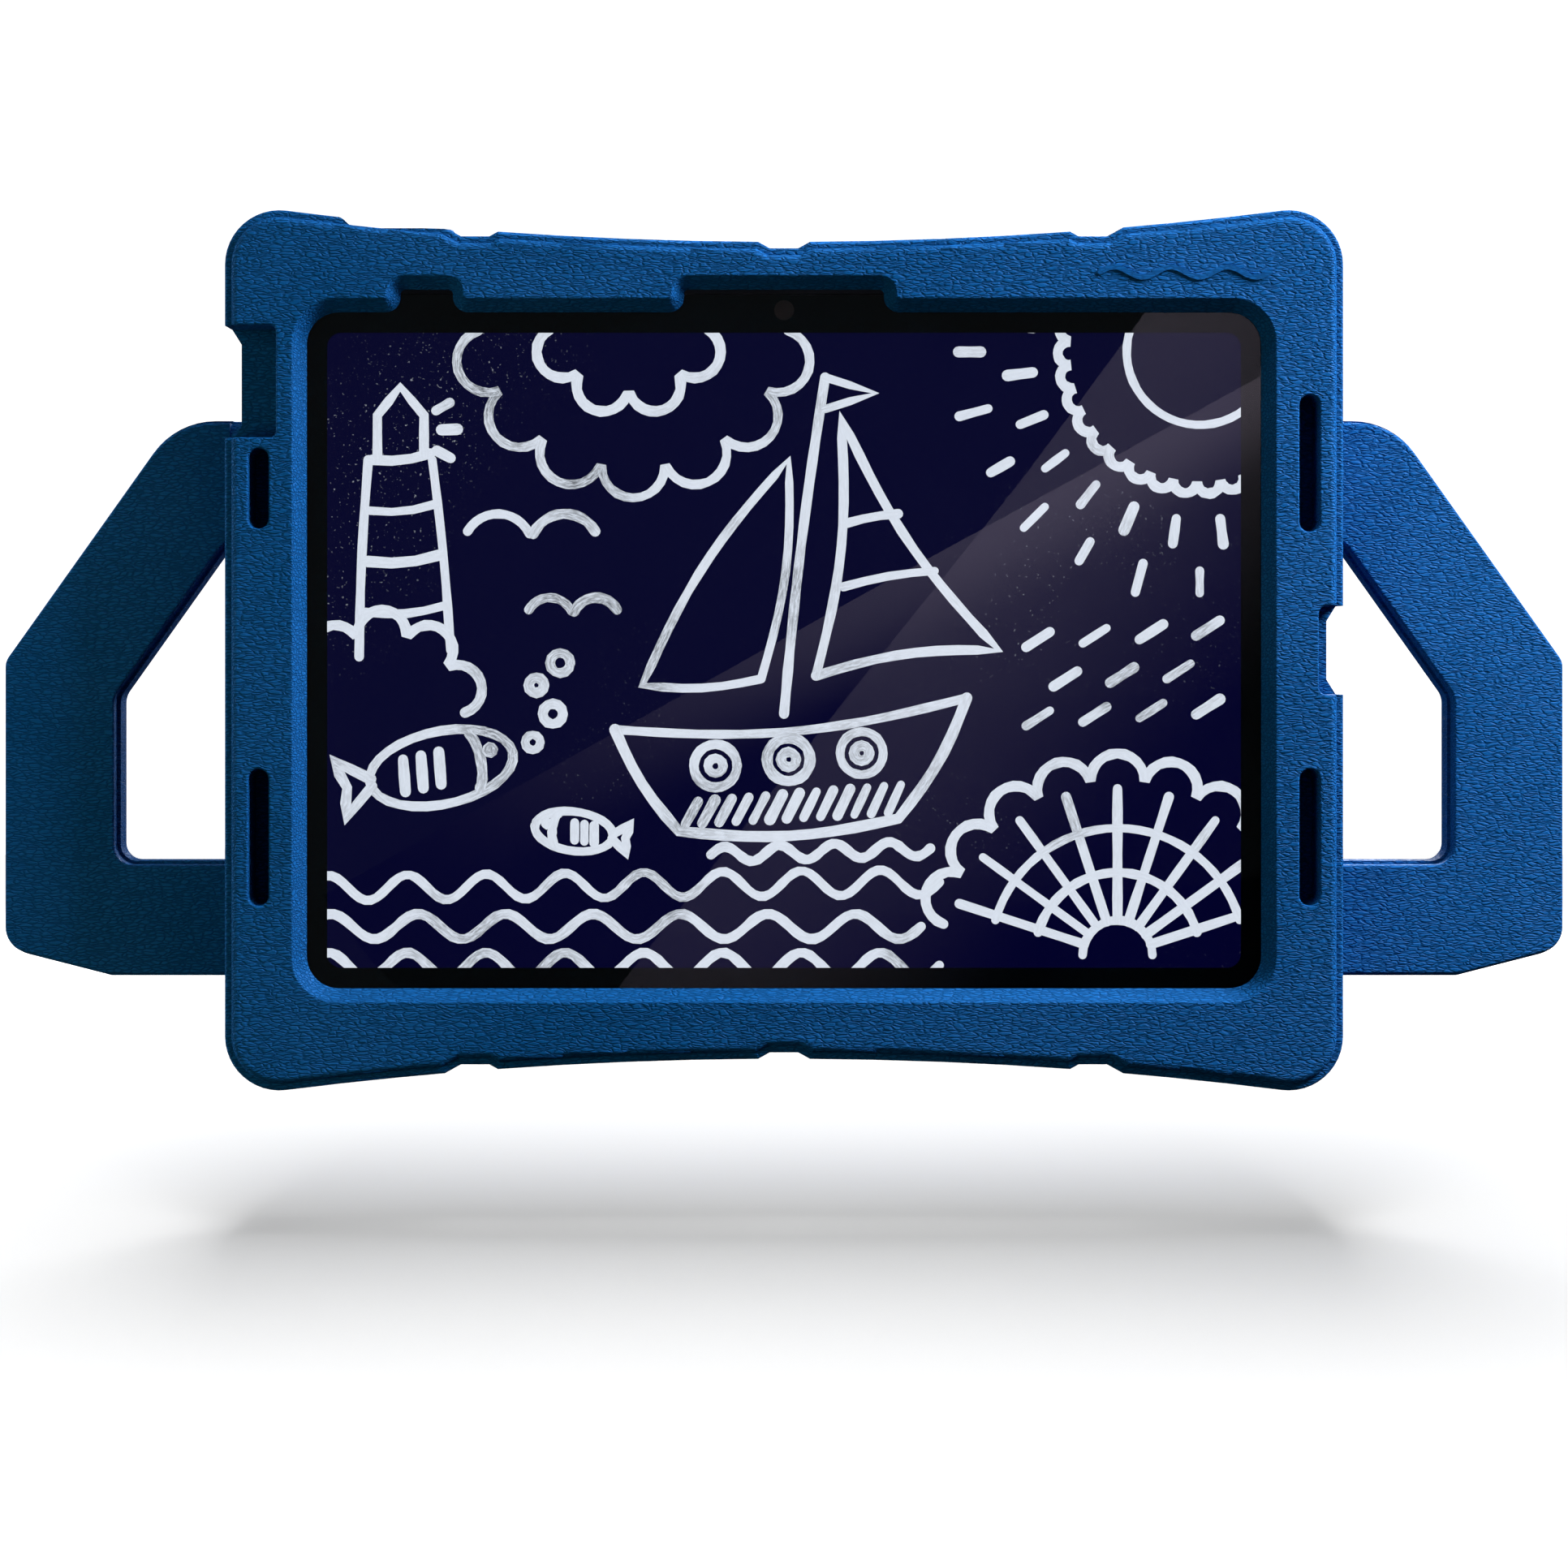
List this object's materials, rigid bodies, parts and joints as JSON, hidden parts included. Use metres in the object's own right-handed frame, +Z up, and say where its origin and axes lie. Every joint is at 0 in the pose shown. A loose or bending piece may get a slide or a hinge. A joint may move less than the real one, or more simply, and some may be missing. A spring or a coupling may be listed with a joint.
{
  "type": "tablet case",
  "caption": "Foam bumper case for a tablet, with a large ring handle that swings behind it as a carry handle and stand.",
  "frame": {"origin": "middle of the overall box in X and Y, at the height of the surface that the case stands on", "axes": "+X along the case's width to the right as seen from the front, -Y out of the screen, +Z up"},
  "size_m": [0.398, 0.0322, 0.2181],
  "materials": {
    "eva_foam": "blue closed-cell EVA foam with a fine leather-like moulded grain",
    "stiff_plastic": "black moulded plastic, matt",
    "black_nylon": "glass-filled black nylon, fine texture",
    "acetal": "off-white acetal, satin",
    "steel": "zinc-plated steel",
    "brass": "turned brass",
    "tablet_metal": "fine bead-blasted anodised aluminium",
    "cover_glass": "polished clear cover glass",
    "black_print": "black print behind the glass",
    "display_panel": "lit display panel showing a dark blue picture with white drawings",
    "battery_foil": "dull laminated foil",
    "camera_black": "dark coated lens"
  },
  "bodies": {
    "case": {"rear_shell": "eva_foam", "front_frame": "eva_foam", "backing_plate": "stiff_plastic", "hinge_bracket_left": "black_nylon", "hinge_bracket_right": "black_nylon", "bracket_screws": "steel", "threaded_inserts": "brass", "hinge_pin_left": "steel", "hinge_pin_right": "steel", "friction_washers": "acetal"},
    "handle": {"handle_front_cover": "eva_foam", "handle_back_body": "eva_foam", "handle_core": "stiff_plastic", "hinge_bushes": "acetal"},
    "up_pad": {"volume_up_pad": "eva_foam"},
    "down_pad": {"volume_down_pad": "eva_foam"},
    "tablet": {"tablet_housing": "tablet_metal", "tablet_glass": "cover_glass", "tablet_border": "black_print", "tablet_display": "display_panel", "tablet_battery": "battery_foil", "tablet_front_camera": "camera_black", "tablet_rear_camera": "camera_black", "tablet_port": "steel"},
    "top_button": {"tablet_top_button": "tablet_metal"},
    "up_button": {"tablet_volume_up": "tablet_metal"},
    "down_button": {"tablet_volume_down": "tablet_metal"}
  },
  "joints": [
    {"name": "handle_swing", "type": "hinge", "parent": "case", "child": "handle", "pos_m": [0, 0.00985, 0.16145], "axis": [1, 0, 0], "range_deg": [0, 180]},
    {"name": "tablet_removal", "type": "slide", "parent": "case", "child": "tablet", "axis": [0, -1, 0], "range_m": [0, 0.03], "deforming": ["front_frame"]},
    {"name": "up_pad_press", "type": "slide", "parent": "case", "child": "up_pad", "axis": [0, 0, -1], "range_m": [0, 0.0008], "stiffness_N_per_m": 1500},
    {"name": "down_pad_press", "type": "slide", "parent": "case", "child": "down_pad", "axis": [0, 0, -1], "range_m": [0, 0.0008], "stiffness_N_per_m": 1500},
    {"name": "top_button_press", "type": "slide", "parent": "tablet", "child": "top_button", "axis": [1, 0, 0], "range_m": [0, 0.0003], "stiffness_N_per_m": 4000},
    {"name": "up_button_press", "type": "slide", "parent": "tablet", "child": "up_button", "axis": [0, 0, -1], "range_m": [0, 0.0003], "stiffness_N_per_m": 4000},
    {"name": "down_button_press", "type": "slide", "parent": "tablet", "child": "down_button", "axis": [0, 0, -1], "range_m": [0, 0.0003], "stiffness_N_per_m": 4000}
  ]
}
